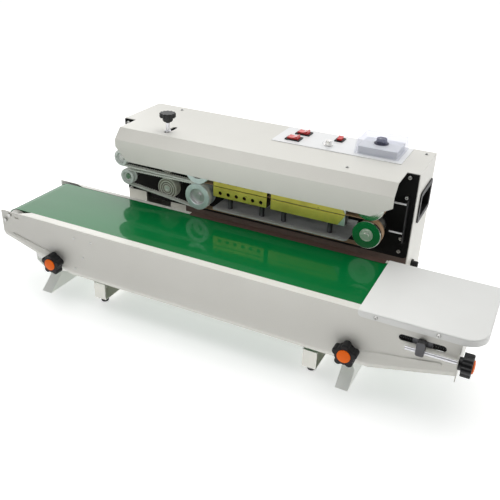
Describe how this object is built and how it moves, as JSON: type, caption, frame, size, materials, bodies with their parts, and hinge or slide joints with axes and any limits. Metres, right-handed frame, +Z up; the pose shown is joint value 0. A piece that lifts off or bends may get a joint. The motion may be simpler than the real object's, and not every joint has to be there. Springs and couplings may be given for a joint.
{
  "type": "continuous band sealer",
  "caption": "Benchtop continuous band sealer: a long belt conveyor in front of a sheet-metal cabinet whose hooded head pulls and heat-seals bag mouths between two bands.",
  "frame": {"origin": "on the floor, under the middle of the machine's outline", "axes": "+X the way the bags travel, along the conveyor; +Y from the conveyor back to the cabinet; +Z up"},
  "size_m": [0.918, 0.3992, 0.347],
  "materials": {
    "paint": "satin",
    "black_paint": "satin",
    "white_panel": "satin",
    "black_plastic": "satin",
    "beige_plastic": "satin",
    "red_plastic": "gloss",
    "clear_plastic": "gloss",
    "chrome": "polished",
    "steel": "satin",
    "motor_grey": "satin",
    "pulley_plastic": "satin",
    "brass": "satin",
    "aluminium": "satin",
    "gold_guard": "satin",
    "sealing_band": "satin",
    "guide_belt": "matte",
    "conveyor_belt": "gloss",
    "rubber": "matte"
  },
  "bodies": {
    "frame": {"base_frame": "paint", "block_carriers": "steel", "cabinet_screws": "steel", "cabinet_shell": "paint", "control_panel": "white_panel", "electric_fittings": "black_plastic", "exit_guide": "black_paint", "fan_frame": "black_plastic", "gearmotor": "motor_grey", "guide_belts": "guide_belt", "head_bearings": "steel", "mounting_plate": "black_paint", "rubber_feet": "rubber", "seal_bands": "sealing_band", "side_handles": "black_plastic", "spring_posts": "steel", "support_legs": "paint", "switch_bezels": "black_plastic", "temperature_controller": "beige_plastic", "top_cover": "paint", "upper_cooling_block": "aluminium", "upper_guards": "gold_guard", "upper_heating_block": "brass"},
    "conveyor": {"front_rail": "paint", "rear_rail": "paint", "slider_bed": "paint", "conveyor_belt": "conveyor_belt", "roller_motor": "steel", "tension_blocks": "steel", "tension_springs": "steel", "end_plate": "paint", "receiving_tray": "paint", "conveyor_screws": "steel"},
    "drive_roller": {"drive_roller": "steel"},
    "idler_roller": {"idler_roller": "steel"},
    "leg_knob_left": {"leg_knob_left": "black_plastic"},
    "leg_knob_right": {"leg_knob_right": "black_plastic"},
    "tension_screw_front": {"tension_screw_front": "black_plastic"},
    "tension_screw_rear": {"tension_screw_rear": "black_plastic"},
    "lower_right_drive": {"lower_right_wheel": "chrome", "lower_gear": "steel"},
    "upper_right_drive": {"upper_right_wheel": "chrome", "upper_gear": "steel"},
    "lower_left_wheel": {"lower_left_wheel": "chrome"},
    "upper_left_wheel": {"upper_left_wheel": "chrome"},
    "small_pulley_lower": {"small_pulley_lower": "pulley_plastic"},
    "small_pulley_upper": {"small_pulley_upper": "pulley_plastic"},
    "mid_pulley_lower": {"mid_pulley_lower": "pulley_plastic"},
    "mid_pulley_upper": {"mid_pulley_upper": "pulley_plastic"},
    "lower_blocks": {"lower_heating_block": "brass", "lower_cooling_block": "aluminium", "lower_guards": "gold_guard"},
    "fan_rotor": {"fan_rotor": "black_plastic"},
    "rocker_motor": {"rocker_motor": "red_plastic"},
    "rocker_heat": {"rocker_heat": "red_plastic"},
    "rocker_fan": {"rocker_fan": "red_plastic"},
    "speed_knob": {"speed_knob": "chrome"},
    "temperature_knob": {"temperature_knob": "black_plastic"},
    "pressure_knob": {"pressure_knob": "black_plastic"},
    "controller_cover": {"controller_cover": "clear_plastic"}
  },
  "joints": [
    {"name": "conveyor_height", "type": "slide", "parent": "frame", "child": "conveyor", "axis": [0, 0, 1], "range_m": [-0.01, 0.004]},
    {"name": "drive_roller_spin", "type": "hinge", "parent": "conveyor", "child": "drive_roller", "pos_m": [-0.433, -0.0854, 0.1412], "axis": [0, 1, 0], "continuous": true},
    {"name": "idler_roller_spin", "type": "hinge", "parent": "conveyor", "child": "idler_roller", "pos_m": [0.37, -0.0854, 0.1412], "axis": [0, 1, 0], "continuous": true},
    {"name": "leg_knob_left_turn", "type": "hinge", "parent": "conveyor", "child": "leg_knob_left", "pos_m": [-0.329, -0.1734, 0.09], "axis": [0, 1, 0], "range_deg": [-360, 0]},
    {"name": "leg_knob_right_turn", "type": "hinge", "parent": "conveyor", "child": "leg_knob_right", "pos_m": [0.259, -0.1734, 0.09], "axis": [0, 1, 0], "range_deg": [-360, 0]},
    {"name": "tension_screw_front_turn", "type": "hinge", "parent": "conveyor", "child": "tension_screw_front", "pos_m": [0.425, -0.1814, 0.131], "axis": [1, 0, 0], "range_deg": [-360, 360]},
    {"name": "tension_screw_rear_turn", "type": "hinge", "parent": "conveyor", "child": "tension_screw_rear", "pos_m": [0.425, 0.0106, 0.131], "axis": [1, 0, 0], "range_deg": [-360, 360]},
    {"name": "lower_right_spin", "type": "hinge", "parent": "frame", "child": "lower_right_drive", "pos_m": [0.218, 0.0266, 0.2035], "axis": [0, 1, 0], "continuous": true},
    {"name": "upper_right_spin", "type": "hinge", "parent": "frame", "child": "upper_right_drive", "pos_m": [0.218, 0.0266, 0.2575], "axis": [0, 1, 0], "continuous": true},
    {"name": "lower_left_spin", "type": "hinge", "parent": "frame", "child": "lower_left_wheel", "pos_m": [-0.1206, 0.0266, 0.2035], "axis": [0, 1, 0], "continuous": true},
    {"name": "upper_left_spin", "type": "hinge", "parent": "frame", "child": "upper_left_wheel", "pos_m": [-0.1206, 0.0266, 0.2575], "axis": [0, 1, 0], "continuous": true},
    {"name": "small_pulley_lower_spin", "type": "hinge", "parent": "frame", "child": "small_pulley_lower", "pos_m": [-0.284, 0.0086, 0.211], "axis": [0, 1, 0], "continuous": true},
    {"name": "small_pulley_upper_spin", "type": "hinge", "parent": "frame", "child": "small_pulley_upper", "pos_m": [-0.2976, 0.0086, 0.2485], "axis": [0, 1, 0], "continuous": true},
    {"name": "mid_pulley_lower_spin", "type": "hinge", "parent": "frame", "child": "mid_pulley_lower", "pos_m": [-0.1966, 0.0216, 0.2001], "axis": [0, 1, 0], "continuous": true},
    {"name": "mid_pulley_upper_spin", "type": "hinge", "parent": "frame", "child": "mid_pulley_upper", "pos_m": [-0.1966, 0.0216, 0.2556], "axis": [0, 1, 0], "continuous": true},
    {"name": "lower_blocks_float", "type": "slide", "parent": "frame", "child": "lower_blocks", "axis": [0, 0, 1], "range_m": [-0.0015, 0], "stiffness_N_per_m": 4000, "springref_m": 0.01},
    {"name": "fan_spin", "type": "hinge", "parent": "frame", "child": "fan_rotor", "pos_m": [-0.199, 0.1766, 0.19], "axis": [0, 1, 0], "continuous": true},
    {"name": "rocker_motor_tip", "type": "hinge", "parent": "frame", "child": "rocker_motor", "pos_m": [0.024, 0.1246, 0.3102], "axis": [0, 1, 0], "range_deg": [0, 16]},
    {"name": "rocker_heat_tip", "type": "hinge", "parent": "frame", "child": "rocker_heat", "pos_m": [0.029, 0.1646, 0.3102], "axis": [0, 1, 0], "range_deg": [0, 16]},
    {"name": "rocker_fan_tip", "type": "hinge", "parent": "frame", "child": "rocker_fan", "pos_m": [0.104, 0.1646, 0.3102], "axis": [-1, 0, 0], "range_deg": [0, 16]},
    {"name": "speed_knob_turn", "type": "hinge", "parent": "frame", "child": "speed_knob", "pos_m": [0.094, 0.1256, 0.3112], "axis": [0, 0, -1], "range_deg": [0, 270]},
    {"name": "temperature_knob_turn", "type": "hinge", "parent": "frame", "child": "temperature_knob", "pos_m": [0.189, 0.1486, 0.3247], "axis": [0, 0, -1], "range_deg": [0, 300]},
    {"name": "pressure_knob_turn", "type": "hinge", "parent": "frame", "child": "pressure_knob", "pos_m": [-0.207, 0.0386, 0.31], "axis": [0, 0, -1], "range_deg": [-360, 360]},
    {"name": "controller_cover_lift", "type": "hinge", "parent": "frame", "child": "controller_cover", "pos_m": [0.191, 0.1861, 0.3138], "axis": [-1, 0, 0], "range_deg": [0, 110]}
  ],
  "couplings": [
    {"joint": "idler_roller_spin", "follows": "drive_roller_spin", "ratio": 1},
    {"joint": "upper_right_spin", "follows": "lower_right_spin", "ratio": -1},
    {"joint": "lower_left_spin", "follows": "lower_right_spin", "ratio": 1},
    {"joint": "upper_left_spin", "follows": "lower_right_spin", "ratio": -1},
    {"joint": "small_pulley_lower_spin", "follows": "lower_right_spin", "ratio": 1.7984},
    {"joint": "small_pulley_upper_spin", "follows": "lower_right_spin", "ratio": -1.7984}
  ]
}
